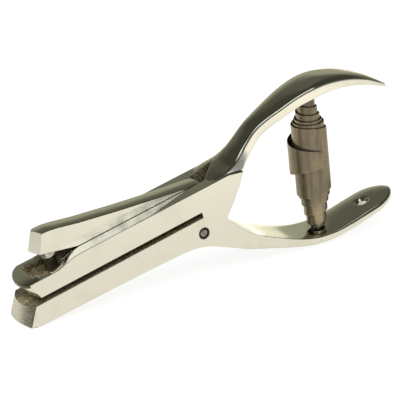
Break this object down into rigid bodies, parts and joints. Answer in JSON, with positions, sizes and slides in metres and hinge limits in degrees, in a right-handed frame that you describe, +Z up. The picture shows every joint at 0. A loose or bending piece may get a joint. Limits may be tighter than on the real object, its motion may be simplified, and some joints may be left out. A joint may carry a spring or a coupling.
{
  "type": "ticket_punch",
  "caption": "Plier-type hand hole punch: slotted steel frame with bowed handles, round punch and die at the nose, and a double volute return spring.",
  "frame": {"origin": "on the ground under the middle of the punch's length and width", "axes": "+X from the nose towards the handles, +Y towards the side that is at the back in the picture, +Z up; the punch stands on its nose and on its lower handle"},
  "size_m": [0.143, 0.0154, 0.0584],
  "materials": {
    "nickel_plate": "polished nickel plate over forged steel",
    "tool_steel": "hardened tool steel, darkened by use",
    "pin_steel": "staked steel pin, dark with age",
    "spring_steel": "tempered spring strip, straw-brown"
  },
  "bodies": {
    "frame": {"frame": "nickel_plate", "pivot_pin": "pin_steel", "die": "tool_steel", "upper_spring_peg": "pin_steel", "spring": "spring_steel"},
    "lever": {"lever": "nickel_plate", "cross_pin": "nickel_plate", "lower_spring_peg": "pin_steel"},
    "punch": {"punch": "tool_steel"}
  },
  "joints": [
    {"name": "squeeze", "type": "hinge", "parent": "frame", "child": "lever", "pos_m": [-0.0069, 0, 0.01638], "axis": [0, -1, 0], "range_deg": [0, 6.5], "stiffness_Nm_per_rad": 2, "springref_deg": -8.59, "deforming": ["spring"]},
    {"name": "punch_stroke", "type": "slide", "parent": "frame", "child": "punch", "axis": [0.2341, 0, -0.9722], "range_m": [0, 0.0058]}
  ],
  "couplings": [
    {"joint": "punch_stroke", "follows": "squeeze", "m_per_rad": 0.0503}
  ]
}
